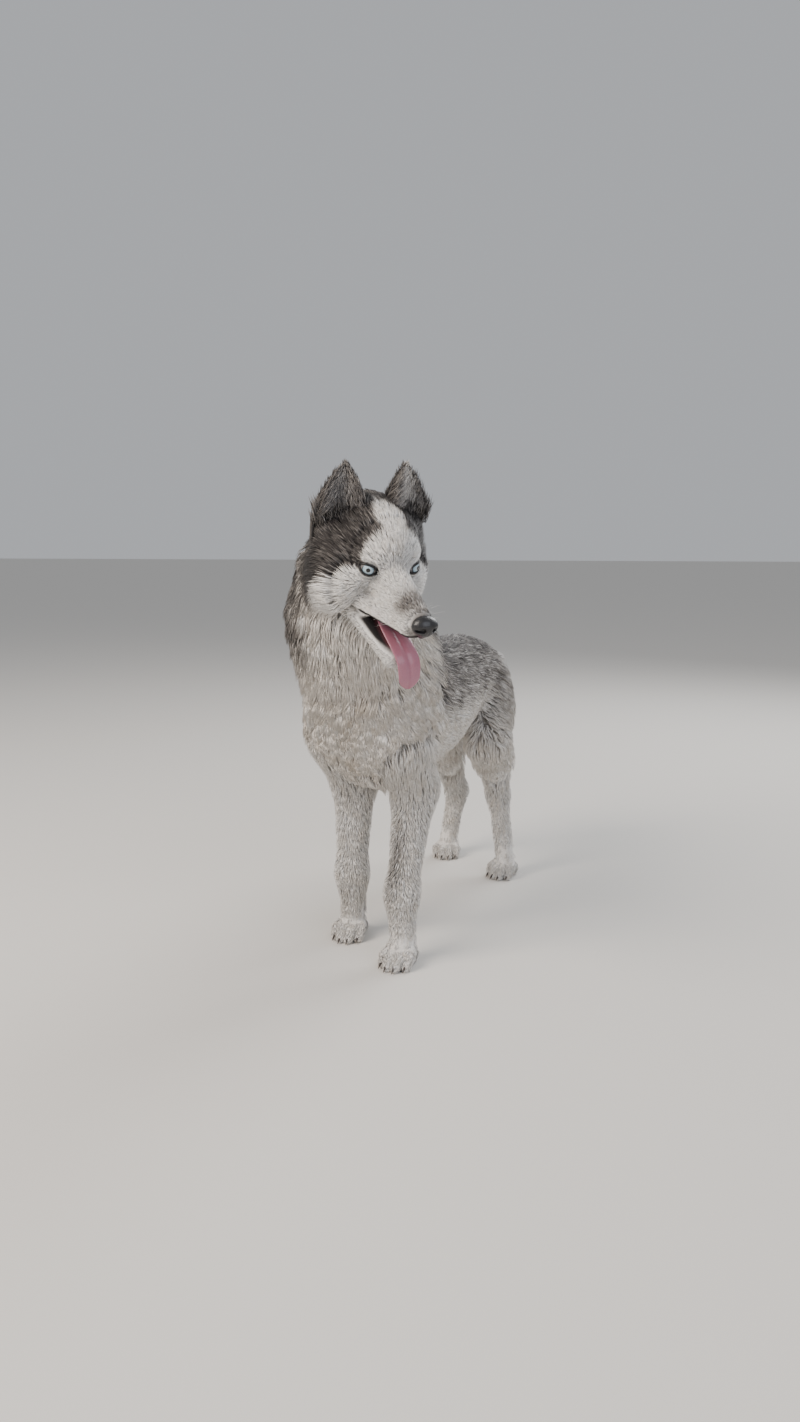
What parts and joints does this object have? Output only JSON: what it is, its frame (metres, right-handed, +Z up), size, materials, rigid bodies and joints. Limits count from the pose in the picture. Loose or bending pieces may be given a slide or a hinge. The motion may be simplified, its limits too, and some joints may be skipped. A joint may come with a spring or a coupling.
{
  "type": "standing siberian husky figure",
  "caption": "Life-size standing husky, head turned to its left, ears up, mouth open with the tongue out, tail hanging.",
  "frame": {"origin": "on the floor under the middle of the dog's bounding box", "axes": "+Z up from the floor, -Y the way the body faces, +X towards the dog's left side"},
  "size_m": [0.3098, 0.8966, 0.7526],
  "materials": {
    "white_coat": "soft fur, white to cream",
    "grey_coat": "soft fur, grey with lighter streaks",
    "dark_coat": "short dark grey fur",
    "nose_skin": "moist pebbled black skin",
    "tongue_flesh": "moist pink flesh",
    "eye": "wet, pale blue iris"
  },
  "bodies": {
    "root": {"torso": "grey_coat", "neck": "grey_coat", "tail": "grey_coat", "nose": "nose_skin", "lower_jaw": "white_coat", "head": "white_coat", "tongue": "tongue_flesh", "eye_left": "eye", "ear_left": "dark_coat", "eye_right": "eye", "ear_right": "dark_coat", "foreleg_left": "white_coat", "foreleg_right": "white_coat", "thigh_left": "white_coat", "thigh_right": "white_coat", "shank_left": "white_coat", "shank_right": "white_coat", "forepaw_left": "white_coat", "forepaw_right": "white_coat", "hindpaw_left": "white_coat", "hindpaw_right": "white_coat"}
  },
  "joints": []
}
